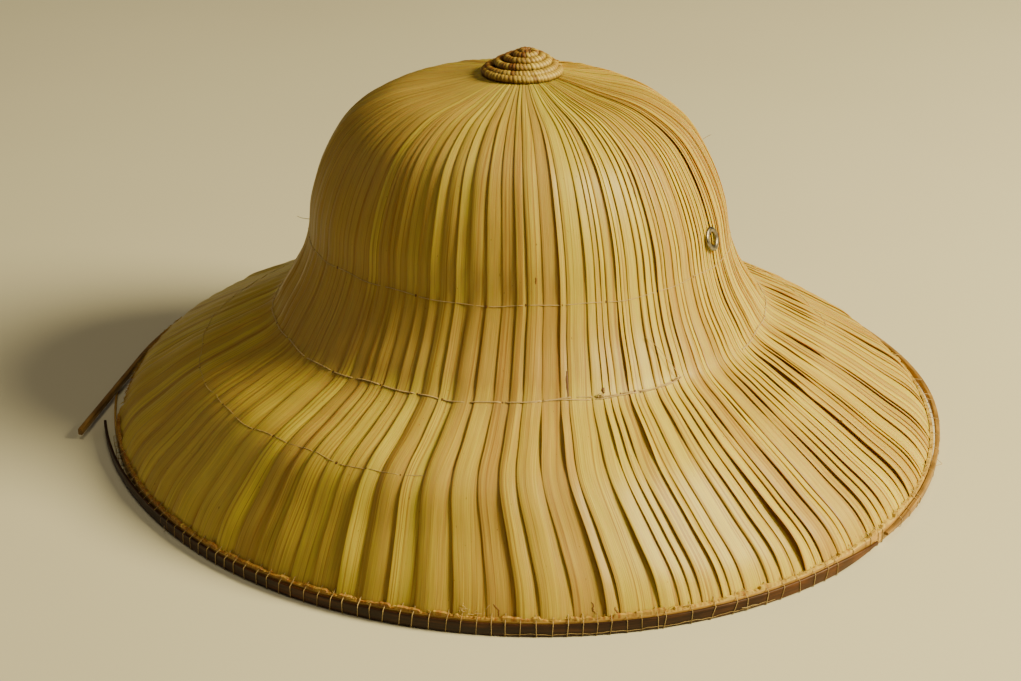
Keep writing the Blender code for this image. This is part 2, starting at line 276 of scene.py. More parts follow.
def tube(pile, path, reference, radius, sides, seed, tone, ring=False, flat=1.0):
    """A round tube along a path; radius may vary along it, and flat squashes it off the surface."""
    path = np.asarray(path, float)
    if ring:
        padded = np.concatenate([path[-1:], path, path[:1]])
        reference = np.broadcast_to(reference, path.shape)
        wide = np.concatenate([reference[-1:], reference, reference[:1]])
        side, up = (v[1:-1] for v in across_up(padded, wide))
    else:
        side, up = across_up(path, np.broadcast_to(reference, path.shape))
    turn = tau * np.arange(sides) / sides
    radius = np.broadcast_to(radius, len(path))[:, None, None]
    rim = side[:, None] * np.cos(turn)[None, :, None] + up[:, None] * np.sin(turn)[None, :, None] * flat
    points = path[:, None] + rim * radius
    step = np.linalg.norm(np.diff(path, axis=0), axis=1)
    place = np.concatenate([[0.0], np.cumsum(step)])
    leaf = np.zeros(points.shape)
    leaf[..., 0] = turn[None, :] * radius[:, :, 0]
    leaf[..., 1] = place[:, None]
    leaf[..., 2] = seed
    pile.add(points, leaf, np.asarray(tone, float), ring)


# Materials


class Nodes:
    """A material's node tree, with short calls for the nodes that these materials use."""

    def __init__(self, name):
        self.material = bpy.data.materials.new(name)
        self.material.use_nodes = True
        self.tree = self.material.node_tree
        self.shader = self.tree.nodes["Principled BSDF"]

    def feed(self, socket, value):
        if isinstance(value, bpy.types.NodeSocket):
            self.tree.links.new(value, socket)
        elif isinstance(value, tuple) and len(value) == 3 and socket.type == "RGBA":
            socket.default_value = (*value, 1.0)
        else:
            socket.default_value = value

    def set(self, name, value):
        self.feed(self.shader.inputs[name], value)

    def attribute(self, name):
        made = self.tree.nodes.new("ShaderNodeAttribute")
        made.attribute_name = name
        return made.outputs["Vector"]

    def split(self, vector):
        made = self.tree.nodes.new("ShaderNodeSeparateXYZ")
        self.feed(made.inputs[0], vector)
        return made.outputs

    def scaled(self, vector, scale):
        made = self.tree.nodes.new("ShaderNodeVectorMath")
        made.operation = "MULTIPLY"
        self.feed(made.inputs[0], vector)
        made.inputs[1].default_value = scale
        return made.outputs[0]

    def noise(self, vector, detail=2.0, roughness=0.5, distortion=0.0):
        made = self.tree.nodes.new("ShaderNodeTexNoise")
        self.feed(made.inputs["Vector"], vector)
        made.inputs["Scale"].default_value = 1.0
        made.inputs["Detail"].default_value = detail
        made.inputs["Roughness"].default_value = roughness
        made.inputs["Distortion"].default_value = distortion
        return made.outputs["Fac"]

    def math(self, operation, one, two=0.0, clamp=False):
        made = self.tree.nodes.new("ShaderNodeMath")
        made.operation = operation
        made.use_clamp = clamp
        self.feed(made.inputs[0], one)
        self.feed(made.inputs[1], two)
        return made.outputs[0]

    def range(self, value, low, high, to_low=0.0, to_high=1.0):
        made = self.tree.nodes.new("ShaderNodeMapRange")
        for socket, number in zip(made.inputs, (value, low, high, to_low, to_high)):
            self.feed(socket, number)
        return made.outputs[0]

    def blend(self, share, one, two, kind="MIX"):
        made = self.tree.nodes.new("ShaderNodeMix")
        made.data_type = "RGBA"
        made.blend_type = kind
        self.feed(made.inputs["Factor"], share)
        self.feed(made.inputs[6], one)
        self.feed(made.inputs[7], two)
        return made.outputs[2]

    def bump(self, height, strength, distance):
        made = self.tree.nodes.new("ShaderNodeBump")
        self.feed(made.inputs["Height"], height)
        made.inputs["Strength"].default_value = strength
        made.inputs["Distance"].default_value = distance
        self.set("Normal", made.outputs["Normal"])


def leaf_material():
    """Dried palm leaf: fine fibres along the strip, cloudy streaks, specks, and painted shade on each
    strip's tucked edge and underside.
    """
    n = Nodes("palm_leaf")
    place = n.attribute("leaf")
    light, green, dark = n.split(n.attribute("tone"))[:3]
    fibre = n.noise(n.scaled(place, (2600.0, 38.0, 13.0)), 3.0, 0.6)
    streak = n.noise(n.scaled(place, (430.0, 7.0, 7.0)), 2.0, 0.55)
    cloud = n.noise(n.scaled(place, (110.0, 17.0, 5.0)), 2.0, 0.5, 0.6)
    speck = n.noise(n.scaled(place, (900.0, 420.0, 3.0)), 1.0)
    pale = n.math("ADD", light, n.math("MULTIPLY", n.math("SUBTRACT", streak, 0.5), 1.5), clamp=True)
    colour = n.blend(pale, (0.430, 0.275, 0.058), (0.660, 0.510, 0.062))
    leafy = n.math("MULTIPLY", green, n.range(cloud, 0.35, 0.65), clamp=True)
    colour = n.blend(leafy, colour, (0.500, 0.375, 0.050))
    rusty = n.math("MULTIPLY", n.range(cloud, 0.46, 0.30), n.range(green, 0.35, 0.0, 0.0, 0.50))
    colour = n.blend(rusty, colour, (0.410, 0.225, 0.045))
    line = n.noise(n.scaled(place, (1100.0, 3.0, 11.0)), 1.0)
    colour = n.blend(n.range(line, 0.56, 0.66, 0.0, 0.60), colour, (0.270, 0.130, 0.025))
    grain = n.range(fibre, 0.25, 0.75, 0.72, 1.14)
    tint = n.tree.nodes.new("ShaderNodeCombineXYZ")
    for socket in tint.inputs:
        n.feed(socket, grain)
    colour = n.blend(1.0, colour, tint.outputs[0], "MULTIPLY")
    colour = n.blend(n.range(speck, 0.74, 0.80, 0.0, 0.55), colour, (0.10, 0.045, 0.015))
    # Painted shade: the dark channel browns the tucked part, underside and free edge of each strip, the edge
    # being partly the leaf's own brown cut edge; it also browns the torn cut ends.
    colour = n.blend(dark, colour, (0.340, 0.150, 0.028))
    n.set("Base Color", colour)
    n.set("Roughness", n.range(fibre, 0.2, 0.8, 0.32, 0.50))
    n.set("Specular IOR Level", 0.22)
    n.set("Subsurface Weight", 0.35)
    n.set("Subsurface Scale", 0.0022)
    n.set("Subsurface Radius", (1.0, 0.42, 0.09))
    n.bump(n.math("ADD", fibre, n.math("MULTIPLY", streak, 0.8)), 0.42, 0.00022)
    return n.material


def fibre_material(name, low, high, roughness, scale=(900.0, 26.0, 9.0), bump=0.35, gloss=0.5):
    """Cane, thread or coil: two colours streaked along the piece, darkened where tone says so; on the coil
    that darkening is painted shade under and between its wraps.
    """
    n = Nodes(name)
    place = n.attribute("leaf")
    light, mottle, dark = n.split(n.attribute("tone"))[:3]
    streak = n.noise(n.scaled(place, scale), 3.0, 0.6)
    fine = n.noise(n.scaled(place, (scale[0] * 3.1, scale[1] * 2.0, 5.0)), 2.0, 0.55)
    share = n.math("ADD", light, n.math("MULTIPLY", n.math("SUBTRACT", streak, 0.5), 2.2), clamp=True)
    colour = n.blend(share, low, high)
    patch = n.noise(n.scaled(place, (160.0, 60.0, 11.0)), 3.0, 0.6)
    shade = tuple(0.45 * c for c in low)
    colour = n.blend(n.math("MULTIPLY", mottle, n.range(patch, 0.42, 0.62), clamp=True), colour, shade)
    colour = n.blend(dark, colour, tuple(0.25 * c for c in low))
    n.set("Base Color", colour)
    n.set("Roughness", n.range(fine, 0.2, 0.8, roughness - 0.08, roughness + 0.12))
    n.set("Specular IOR Level", gloss)
    n.bump(n.math("ADD", fine, streak), bump, 0.00025)
    return n.material


def metal_material():
    """The eyelets' dull nickel, a little stained."""
    n = Nodes("eyelet_metal")
    where = n.tree.nodes.new("ShaderNodeTexCoord").outputs["Object"]
    stain = n.noise(n.scaled(where, (420.0, 420.0, 420.0)), 3.0, 0.6)
    n.set("Base Color", n.blend(n.range(stain, 0.35, 0.7), (0.30, 0.27, 0.22), (0.14, 0.115, 0.085)))
    n.set("Metallic", 1.0)
    n.set("Roughness", n.range(stain, 0.3, 0.7, 0.24, 0.46))
    n.bump(stain, 0.2, 0.0001)
    return n.material


LEAF = leaf_material()
TAN = fibre_material("tan_splint", (0.340, 0.165, 0.032), (0.600, 0.370, 0.090), 0.46)
DARK = fibre_material("dark_splint", (0.026, 0.008, 0.002), (0.130, 0.044, 0.009), 0.42,
                      bump=0.25, gloss=0.30)
BROWN = fibre_material("brown_splint", (0.190, 0.088, 0.020), (0.460, 0.270, 0.070), 0.46)
COIL = fibre_material("coiled_fibre", (0.220, 0.080, 0.016), (0.600, 0.440, 0.072), 0.50, bump=0.5)
THREAD = fibre_material("thread", (0.360, 0.240, 0.095), (0.600, 0.450, 0.220), 0.82,
                        (4200.0, 900.0, 5.0), 0.6, 0.3)
FRAY = fibre_material("frayed_ends", (0.340, 0.125, 0.020), (0.620, 0.450, 0.080), 0.6)
METAL = metal_material()


# Leaf strips

# Places where strips gape: the angles of the sector, the share of strips that do, and how far
Gape = namedtuple("Gape", "start end share low high")
GAPES = (
    Gape(304, 345, 0.50, 0.0003, 0.0013),
    Gape(345, 380, 0.45, 0.0002, 0.0009),
    Gape(20, 100, 0.30, 0.0002, 0.0008),
    Gape(100, 304, 0.25, 0.0002, 0.0008),
)


def waves(rng, count, along, sizes, lengths):
    """One smooth random curve for each strip, as an array (along, strip)."""
    total = np.zeros((len(along), count))
    for size, length in zip(sizes, lengths):
        phase = rng.uniform(0, tau, count)
        reach = rng.uniform(0.7, 1.3, count)
        total += size * reach * np.sin(tau * along[:, None] / (length * reach) + phase)
    return total


def cut_end(angle):
    """Where the leaf ends, as a distance along: past the rim, but drawn in where it is cut back."""
    share = np.clip((np.degrees(angle) % 360 - CUT_START) / (CUT_END - CUT_START), 0, 1)
    bare = np.clip(np.minimum(share, 1 - share) / CUT_BLEND, 0, 1)
    depth = CUT_DEPTH * np.sin(pi * share**CUT_LEAN) ** 0.7
    return mix(outline.length, HEM_ROW - CUT_BARE - depth, bare)


class Strips:
    """The edges and lifts of a layer of strips at each step along the leaf."""

    def __init__(self, count, steps, seed, swing):
        rng = np.random.default_rng(seed)
        self.count = count
        self.along = np.linspace(0.0, outline.length, steps)
        base = np.clip(rng.normal(0, STRIP_SPREAD, count), -0.75, 0.58)
        turn = (np.arange(count) + 0.5) / count * 360
        wide = WIDE_GAIN * np.exp(-(((turn - WIDE_ANGLE) / WIDE_SPREAD) ** 2))
        width = np.exp(base + wide + waves(rng, count, self.along, swing, (0.30, 0.13, 0.07)))
        width *= tau / width.sum(axis=1, keepdims=True)
        self.width = width
        self.start = np.cumsum(width, axis=1) - width
        self.start += self.start[self.step_of(MIDDLE_ROW)].mean() - self.start.mean(axis=1, keepdims=True)
        self.size = (outline.value(outline.radius, self.along) / RIM_RADIUS) ** SIZE_POWER
        self.light = np.clip(rng.normal(0.50, 0.27, count), 0.0, 1.0)
        self.green = np.clip(rng.normal(0.32, 0.32, count), 0.0, 1.0)
        self.arch = rng.normal(0.010, 0.028, count)
        self.crease = np.where(rng.random(count) < 0.35, rng.uniform(0.01, 0.04, count), 0.0)
        self.crease_at = rng.uniform(0.35, 0.65, count)
        at = np.degrees(self.start[self.step_of(MIDDLE_ROW)]) % 360
        # Shares of painted shade for each strip: the shaded left side, the front wall and the dome's upper
        # right.
        self.shady = np.exp(-(((at - SHADY_ANGLE) / SHADY_SPREAD) ** 2))
        self.front = np.exp(-(((at - FRONT_ANGLE) / FRONT_SPREAD) ** 2))
        self.crown_shade = np.exp(-((((at - CROWN_SHADE_ANGLE + 180) % 360 - 180) / CROWN_SHADE_SPREAD) ** 2))
        self.lift = self.edge_lift(rng)
        self.ragged = rng.uniform(-0.0007, 0.0005, count)

    def step_of(self, along):
        return int(np.abs(self.along - along).argmin())

    def edge_lift(self, rng):
        """How far the free edge of each strip stands up, held down at the sewn rows."""
        held = np.ones(len(self.along))
        for row, grip in ((CROWN_ROW, 0.25), (JOIN_ROW, 0.50), (MIDDLE_ROW, 0.35), (HEM_ROW, 0.45)):
            held -= grip * np.exp(-(((self.along - row) / 0.007) ** 2))
        own = np.clip(np.exp(rng.normal(0, 0.28, self.count)), 0.55, 1.75)
        middle = np.degrees(self.start + self.width / 2) % 360
        flat = 1 - 0.5 * np.exp(-(((middle - FLAT_ANGLE) / FLAT_SPREAD) ** 2))
        lift = EDGE_LIFT * self.size[:, None] * held[:, None] * own * flat
        lift *= np.clip(1 + waves(rng, self.count, self.along, (0.18, 0.12), (0.11, 0.05)), 0.6, 1.5)
        for strip in range(self.count):
            at = middle[self.step_of(MIDDLE_ROW), strip]
            for low, high in ((JOIN_ROW, MIDDLE_ROW), (MIDDLE_ROW, HEM_ROW + 0.004)):
                for gape in GAPES:
                    if not (gape.start <= at < gape.end or gape.start <= at + 360 < gape.end):
                        continue
                    draw, size, shift = rng.random(3)
                    if draw > gape.share:
                        continue
                    place = np.clip((self.along - low) / (high - low), 0, 1) ** mix(0.8, 1.7, shift)
                    bulge = np.sin(pi * place) ** 1.5
                    lift[:, strip] += mix(gape.low, gape.high, size**1.6) * bulge
        return lift

    def face(self, strip, across):
        """The lift of a strip's upper face at shares across it, as an array (along, across)."""
        across = np.asarray(across)[None, :]
        width = (self.width[:, strip] * outline.value(outline.radius, self.along))[:, None]
        inside = np.clip(across, 0, 1)
        lift = self.lift[:, strip][:, None] * (1 - inside)
        lift = lift + self.arch[strip] * width * 4 * inside * (1 - inside)
        peak = self.crease_at[strip]
        tent = np.where(inside < peak, inside / peak, (1 - inside) / (1 - peak))
        lift = lift + self.crease[strip] * width * tent
        past = np.clip(across - 1, 0, None) / OVERLAP
        return lift - TUCK_DROP * self.size[:, None] * past

    def top(self, along, angles):
        """The lift of the topmost face at one distance along, at an array of angles in radians."""
        step = self.step_of(along)
        start = self.start[step]
        offset = (angles - start[0]) % tau
        strip = np.searchsorted(start - start[0], offset, side="right") - 1
        share = (offset - (start[strip] - start[0])) / self.width[step, strip]
        inside = np.clip(share, 0, 1)
        lift = self.lift[step, strip] * (1 - inside)
        wide = self.width[step, strip] * np.interp(along, outline.along, outline.radius)
        return lift + self.arch[strip] * wide * 4 * inside * (1 - inside)


# Where the painted shade on the left side and on the front wall fades in and out, along the leaf.
SHADY_ROWS = (JOIN_ROW - 0.010, JOIN_ROW + 0.012)
SHADY_SHARES = (1.0, 0.05)
WALL_ROWS = (CROWN_ROW - 0.004, CROWN_ROW + 0.012, JOIN_ROW - 0.012, JOIN_ROW - 0.004)
ACROSS_TOP = (0.0, 0.05, 0.20, 0.38, 0.56, 0.74, 0.92, 1.0 + 0.5 * OVERLAP, 1.0 + OVERLAP)
ACROSS_UNDER = (1.0 + OVERLAP, 0.80, 0.40, 0.0)


def add_strip(pile, strips, strip, side, depth, thickness):
    """One strip of a layer; side is 1 for the outer face and -1 for the lining's, which looks in."""
    across = np.array(ACROSS_TOP + ACROSS_UNDER)
    face = strips.face(strip, across)
    shares = across[None, :] * strips.width[:, strip][:, None]
    angle = strips.start[:, strip][:, None] + shares
    thick = thickness * strips.size[:, None]
    under = len(ACROSS_TOP)
    face[:, under:] -= thick
    face[:, 0] -= 0.35 * thick[:, 0]
    end = cut_end(angle)
    end = end + strips.ragged[strip] * (end < HEM_ROW)
    past = np.clip((strips.along - MIDDLE_ROW) / (outline.length - MIDDLE_ROW), 0, 1)[:, None]
    rows = np.minimum(strips.along, MIDDLE_ROW)[:, None] + past * (end - MIDDLE_ROW)
    points = outline.point(rows, angle, side * face - depth)
    radius = outline.value(outline.radius, rows)
    leaf = np.zeros(points.shape)
    leaf[..., 0] = shares * radius
    leaf[..., 1] = rows
    leaf[..., 2] = strip + (0 if side > 0 else STRIP_COUNT)
    tone = np.zeros(points.shape)
    # Painted shade: the light channel is lowered on the shaded left side, on the front wall and on the
    # dome's upper right, and green is taken out on the shaded left.
    shady = strips.shady[strip] * np.interp(rows, SHADY_ROWS, SHADY_SHARES)
    # Painted shade on the dome's upper right side.
    crown_shade = strips.crown_shade[strip] * np.interp(rows, CROWN_SHADE_ROWS, (1.0, 0.0))
    # Painted shade on the front wall.
    wall = np.interp(rows, WALL_ROWS, (0.0, 1.0, 1.0, 0.0)) * strips.front[strip]
    tone[..., 0] = strips.light[strip] - SHADY_LOSS * shady - CROWN_SHADE_LOSS * crown_shade - WALL_SHADE_LOSS * wall
    tone[..., 1] = strips.green[strip] * (1 - 0.8 * shady)
    # Painted shade: the tucked part under the next strip and the underside are darkened, and a thin dark
    # line runs along the free edge, partly the leaf's own brown cut edge and partly painted shade.
    shade = np.interp(across, (0.0, 0.74, 1.0, 1.0 + OVERLAP), (0.0, 0.0, 0.40, 0.85))
    shade[under:] = 0.25
    shade[0] = 0.55
    shade[1] = 0.06
    torn = np.clip((rows - end) / 0.004 + 1, 0, 1) * (end < HEM_ROW)
    tone[..., 2] = np.maximum(shade[None, :], 0.7 * torn)
    pile.add(points, leaf, tone)


Sector = namedtuple("Sector", "name start end")
SECTORS = (
    Sector("leaf_strips_front", 225, 315),
    Sector("leaf_strips_right", 315, 405),
    Sector("leaf_strips_back", 45, 135),
    Sector("leaf_strips_left", 135, 225),
)
strips = Strips(STRIP_COUNT, ALONG_STEPS, SEED, (0.030, 0.022, 0.012))
lining = Strips(LINING_COUNT, LINING_STEPS, SEED + 1, (0.05, 0.04, 0.02))
lining.lift = np.broadcast_to(LINING_LIFT * lining.size[:, None], lining.lift.shape)
lining.green = lining.green * 0.4
lining.crease = lining.crease * 0

pieces = {}
for sector in SECTORS:
    pile = Pile()
    for strip in range(STRIP_COUNT):
        at = np.degrees(strips.start[strips.step_of(MIDDLE_ROW), strip]) % 360
        if sector.start <= at < sector.end or sector.start <= at + 360 < sector.end:
            add_strip(pile, strips, strip, 1, 0.0, LEAF_THICKNESS)
    pieces[sector.name] = pile.build(sector.name, LEAF)
pile = Pile()
for strip in range(LINING_COUNT):
    add_strip(pile, lining, strip, -1, LINING_DEPTH, LEAF_THICKNESS)
pieces["leaf_lining"] = pile.build("leaf_lining", LEAF)

# Sewn rows

# Each span of sewing thread: its row, the angles it covers, its thickness, how much it wanders, and
# the distance between the places where it dips through the leaf
Span = namedtuple("Span", "row start end radius wander dips")
SPANS = (
    Span(CROWN_ROW, -110, 250, 0.00018, 0.0005, 0.022),
    Span(JOIN_ROW, -151, -27, 0.00030, 0.0006, 0.016),
    Span(JOIN_ROW - 0.0004, -64, -28, 0.00026, 0.0007, 0.011),
    Span(JOIN_ROW, -5, 209, 0.00028, 0.0007, 0.016),
    Span(MIDDLE_ROW, -128, -78, 0.00014, 0.0009, 0.012),
    Span(MIDDLE_ROW, 30, 232, 0.00016, 0.0009, 0.019),
)


def sewn_span(threads, pits, span, rng):
    """A thread lying over the strips, which dips through the leaf at each stitch."""
    radius = float(np.interp(span.row, outline.along, outline.radius))
    steps = int(radians(span.end - span.start) * radius / 0.0009)
    angles = np.radians(np.linspace(span.start, span.end, steps))
    place = (angles - angles[0]) * radius
    top = strips.top(span.row, angles)
    kernel = np.ones(7) / 7
    eased = np.convolve(np.pad(top, 3, mode="edge"), kernel, "valid")
    lift = np.maximum(top, eased) + 0.6 * span.radius
    dips = []
    at = rng.uniform(0.2, 1.0) * span.dips
    while at < place[-1]:
        dips.append(at)
        at += span.dips * rng.uniform(0.6, 1.4)
    for dip in dips:
        lift = lift - 0.0016 * np.exp(-(((place - dip) / 0.0007) ** 2))
    wander = span.wander * (np.sin(place / 0.011 + rng.uniform(0, 6)) + 0.5 * np.sin(place / 0.0043))
    along = span.row + wander
    path = outline.point(along, angles, lift)
    normal = outline.normal(along, angles)
    tone = (0.55, 0.25, 0.0)
    tube(threads, path, normal, span.radius, 6, rng.uniform(0, 50), tone)
    for dip in dips:
        index = int(np.abs(place - dip).argmin())
        pit(pits, along[index], angles[index], top[index], rng)


def pit(pits, along, angle, lift, rng):
    """The small dark torn hole round a needle's way through the leaf."""
    size = rng.uniform(0.00032, 0.00062)
    rings = []
    turn = tau * np.arange(8) / 8
    radius = float(np.interp(along, outline.along, outline.radius))
    for share, rise in ((1.0, -0.00020), (0.9, 0.00006), (0.35, 0.00010)):
        rings.append(
            outline.point(
                along + size * share * 1.3 * np.sin(turn),
                angle + size * share * np.cos(turn) / radius,
                lift + rise,
            )
        )
    points = np.array(rings)
    leaf = np.full(points.shape, rng.uniform(0, 9))
    pits.add(points, leaf, np.array((0.1, 0.0, 0.9)))


rng = np.random.default_rng(SEED + 2)
threads = Pile()
pits = Pile()
for span in SPANS:
    sewn_span(threads, pits, span, rng)
pieces["sewn_rows"] = threads.build("sewn_rows", THREAD, 60)
pieces["stitch_holes"] = pits.build("stitch_holes", FRAY, 60)

# Rim

SPLINT_GAP = 0.0003
HEM_FOLD = 0.0004
TAN_THICKNESS = 0.0010
TAN_WIDTH = 0.0057
TAN_END_WIDTH = 0.0014
TAN_TAPER = 0.100
TAN_END_LIFT = 0.0060
TAN_END_RUN = 0.075
DARK_THICKNESS = 0.0012
DARK_WIDTH = 0.0051
DARK_END_LIFT = 0.0043
DARK_END_RUN = 0.120
BROWN_THICKNESS = 0.0020
BROWN_WIDTH = 0.0031
BROWN_BOTTOM = 0.0023
BROWN_BULGE = 0.0022
LOOSE_LENGTH = 0.074
SCARF_HEIGHT = 0.0024
SCARF_SPREAD = 9
REDDER_ANGLE, REDDER_SPREAD = 312, 30
TAN_START, TAN_END = 201, 540
DARK_START, DARK_END = 214, 346
BROWN_START, BROWN_END = 348, 554
BULGE_ANGLE, BULGE_SPREAD = 392, 24
SPLINT_STEP = 1.0
INNER_LAYER = RIM_RADIUS + HEM_FOLD + SPLINT_GAP
OUTER_LAYER = INNER_LAYER + TAN_THICKNESS + SPLINT_GAP


def rim_path(radius, degrees, lift):
    """Points and outward directions round the rim at an array of angles, lifted off it."""
    angle = np.radians(degrees)
    outward = np.stack(
        [np.cos(angle) * (1 + RIM_OVAL), np.sin(angle) * (1 - RIM_OVAL), np.zeros(len(angle))], axis=1
    )
    outward /= np.linalg.norm(outward, axis=1)[:, None]
    points = np.stack(
        [radius * (1 - RIM_OVAL) * np.cos(angle), radius * (1 + RIM_OVAL) * np.sin(angle), 0 * angle],
        axis=1,
    )
    return points + outward * np.reshape(lift, (-1, 1)), outward


def end_lift(degrees, start, height, run):
    along = np.radians(degrees - start) * RIM_RADIUS
    return height * np.clip(1 - along / run, 0, None) ** 2


def splint(name, path, outward, thickness, bottoms, widths, seed, surface, light):
    """A split cane on edge: a flat section with rounded corners swept along a path."""
    bevel = 0.30 * min(thickness, 0.0012)
    section = []
    for corner_out, corner_up, first in ((1, 0, -90), (1, 1, 0), (0, 1, 90), (0, 0, 180)):
        for turn in (0, 45, 90):
            way = radians(first + turn)
            section.append((corner_out, corner_up,
                        cos(way) - (2 * corner_out - 1), sin(way) - (2 * corner_up - 1)))
    section = np.array(section)
    up = np.array((0.0, 0.0, 1.0))
    out = section[:, 0] * thickness + section[:, 2] * bevel
    rise = section[:, 1][None, :] * widths[:, None] + section[:, 3][None, :] * bevel + bottoms[:, None]
    points = path[:, None] + outward[:, None] * out[None, :, None] + up * rise[:, :, None]
    step = np.linalg.norm(np.diff(path, axis=0), axis=1)
    place = np.concatenate([[0.0], np.cumsum(step)])
    leaf = np.zeros(points.shape)
    leaf[..., 0] = rise + out[None, :]
    leaf[..., 1] = place[:, None]
    leaf[..., 2] = seed
    pile = Pile()
    tone = np.zeros(points.shape)
    tone[..., 0] = np.broadcast_to(light, len(path))[:, None]
    tone[..., 1] = 0.6
    pile.add(points, leaf, tone)
    return pile.build(name, surface, 50)


degrees = np.arange(TAN_START, TAN_END + 0.01, SPLINT_STEP)
path, outward = rim_path(INNER_LAYER, degrees, end_lift(degrees, TAN_START, TAN_END_LIFT, TAN_END_RUN))
run = np.radians(degrees - TAN_START) * RIM_RADIUS
widths = mix(TAN_END_WIDTH, TAN_WIDTH, np.minimum(1.0, run / TAN_TAPER) ** 2)
pieces["rim_tan"] = splint("rim_tan", path, outward, TAN_THICKNESS, 0 * widths, widths, 1, TAN, 0.55)

degrees = np.arange(DARK_START, DARK_END + 0.01, SPLINT_STEP)
path, outward = rim_path(OUTER_LAYER, degrees, end_lift(degrees, DARK_START, DARK_END_LIFT, DARK_END_RUN))
thinned = np.clip((DARK_END - degrees) / SCARF_SPREAD, 0.12, 1) ** 0.6
widths = DARK_WIDTH * thinned
bottoms = SCARF_HEIGHT * (1 - thinned)
light = np.clip((degrees - REDDER_ANGLE) / REDDER_SPREAD, 0.1, 1.0)
pieces["rim_dark"] = splint("rim_dark", path, outward, DARK_THICKNESS, bottoms, widths, 2, DARK, light)

degrees = np.arange(BROWN_START, BROWN_END + 0.01, SPLINT_STEP)
share = np.abs(degrees - BULGE_ANGLE) / BULGE_SPREAD
bulge = np.where(share < 1, BROWN_BULGE * np.cos(np.clip(share, 0, 1) * pi / 2) ** 2, 0.0)
path, outward = rim_path(OUTER_LAYER, degrees, bulge)
onward = np.array((-outward[-1][1], outward[-1][0], 0.0))
reach = np.linspace(0, LOOSE_LENGTH, 25)[1:, None]
path = np.concatenate([path, path[-1] + onward * reach])
outward = np.concatenate([outward, np.broadcast_to(outward[-1], (24, 3))])
thinned = np.clip(np.arange(len(path)) / 8, 0.25, 1) ** 0.6
widths = BROWN_WIDTH * thinned
bottoms = BROWN_BOTTOM + 0.5 * (BROWN_WIDTH - widths)
light = np.interp(np.arange(len(path)), (0, 30, len(path) - 70, len(path) - 24), (0.30, 0.60, 0.55, 0.35))
pieces["rim_brown"] = splint("rim_brown", path, outward, BROWN_THICKNESS, bottoms, widths, 3, BROWN, light)

# Whipping thread: where it goes round the rim, how far apart its turns are and how uneven they are
Whip = namedtuple("Whip", "start end spacing uneven slant over")
WHIPS = (
    Whip(219, 312, 0.0057, 0.16, 0.0006, "dark"),
    Whip(312, 340, 0.0085, 0.45, 0.0020, "dark"),
    Whip(341, 349, 0.0062, 0.60, 0.0012, "tan"),
    Whip(351, 425, 0.0150, 0.75, 0.0030, "brown"),
    Whip(425, 545, 0.0095, 0.45, 0.0016, "brown"),
)
WHIP_RADIUS = 0.00014
# A turn of the thread as (out from the rim, height) in millimetres, from the foot of the outer face
WHIP_TURNS = {
    "dark": ((3.35, 0.3), (3.35, 4.8), (3.0, 5.35), (1.8, 6.0), (0.6, 6.7), (-0.5, 7.4), (-1.9, 6.8),
             (-2.5, 3.4), (-2.3, 0.2), (0.2, -0.15), (2.9, -0.15)),
    "brown": ((1.95, 0.2), (2.1, 1.9), (4.0, 2.3), (4.2, 3.8), (3.9, 5.2), (1.9, 6.0), (0.6, 6.7),
              (-0.5, 7.4), (-1.9, 6.8), (-2.5, 3.4), (-2.3, 0.2), (0.0, -0.15), (1.6, -0.15)),
    "tan": ((1.95, 0.2), (2.05, 2.6), (1.95, 5.2), (1.6, 6.0), (0.6, 6.7), (-0.5, 7.4), (-1.9, 6.8),
            (-2.5, 3.4), (-2.3, 0.2), (0.0, -0.15), (1.6, -0.15)),
}


def rim_place(degrees, out, height):
    """Points off the rim, out and up in metres, at angles in degrees."""
    path, outward = rim_path(RIM_RADIUS, np.atleast_1d(np.asarray(degrees, float)), 0.0)
    path = path + outward * np.reshape(out, (-1, 1))
    path[:, 2] += height
    return path


def smooth_loop(points, steps):
    """A closed curve through points, by a Catmull-Rom spline."""
    count = len(points)
    curve = []
    for index in range(count):
        a, b, c, d = (points[(index + k) % count] for k in (-1, 0, 1, 2))
        for t in np.arange(steps) / steps:
            curve.append(
                0.5 * (2 * b + (c - a) * t + (2 * a - 5 * b + 4 * c - d) * t**2
               + (3 * b - a - 3 * c + d) * t**3)
            )
    return np.array(curve)


def whipping():
    """The cream thread that binds the splints to the leaf ends, turn by turn."""
    pile = Pile()
    rng = np.random.default_rng(SEED + 3)
    for whip in WHIPS:
        turn = np.array(WHIP_TURNS[whip.over]) / 1000
        step = np.degrees(whip.spacing / RIM_RADIUS)
        at = whip.start
        while at < whip.end:
            lean = whip.slant * rng.uniform(-0.4, 1.4)
            rise = turn[:, 1] / turn[:, 1].max()
            degrees = at + np.degrees(lean * rise / RIM_RADIUS)
            bulge = BROWN_BULGE * max(0.0, cos(min(1.0, abs(at - BULGE_ANGLE) / BULGE_SPREAD) * pi / 2)) ** 2
            out = turn[:, 0] + np.where((turn[:, 0] > 0.0035) & (whip.over == "brown"), bulge, 0.0)
            loop = smooth_loop(rim_place(degrees, out, turn[:, 1]), 2)
            onward = rim_place([at + 1.0], 0.0, 0.0)[0] - rim_place([at], 0.0, 0.0)[0]
            light = rng.uniform(0.35, 0.9)
            radius = WHIP_RADIUS * rng.uniform(0.8, 1.25)
            tube(pile, loop, onward, radius, 5, at, (light, 0.4, 0.0), ring=True)
            at += step * (1 + whip.uneven * rng.uniform(-1, 1))
    return pile.build("rim_whipping", THREAD, 70)


# How pale the cut ends are, round the rim
FRAY_ANGLES = (214, 290, 330, 545)
FRAY_LIGHTS = (0.15, 0.35, 0.85, 0.70)


